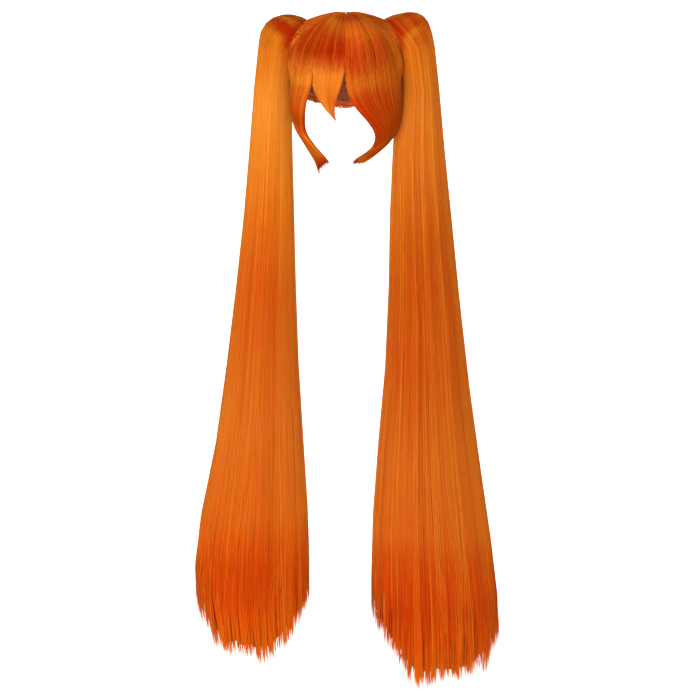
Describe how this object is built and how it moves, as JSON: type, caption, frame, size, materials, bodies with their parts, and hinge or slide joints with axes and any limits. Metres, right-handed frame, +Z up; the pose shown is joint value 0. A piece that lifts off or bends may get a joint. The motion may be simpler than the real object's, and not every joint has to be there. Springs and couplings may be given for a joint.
{
  "type": "long twin-tail wig",
  "caption": "Bright orange synthetic wig with a split fringe, face-framing locks and a very long straight tail hanging from each side of a hollow cap that is worn on the head.",
  "frame": {"origin": "crown of the head, at the middle of the inside of the cap", "axes": "+Z up along the wearer's height, -Y towards the face, +X to the right as seen from the front"},
  "size_m": [0.5321, 0.211, 1.1578],
  "materials": {
    "hair_fibre": "straight glossy synthetic fibre, bright orange with darker red-orange roots and ends",
    "cap_net": "knitted net cap with sewn rows of hair, orange brown",
    "clip_plastic": "moulded satin plastic, dark brown"
  },
  "bodies": {
    "root": {"cap": "cap_net", "gathered_hair_left": "hair_fibre", "gathered_hair_right": "hair_fibre", "fringe": "hair_fibre", "side_lock_left": "hair_fibre", "side_lock_right": "hair_fibre", "tail_clip_left": "clip_plastic", "tail_clip_right": "clip_plastic", "tail_left": "hair_fibre", "tail_right": "hair_fibre"}
  },
  "joints": []
}
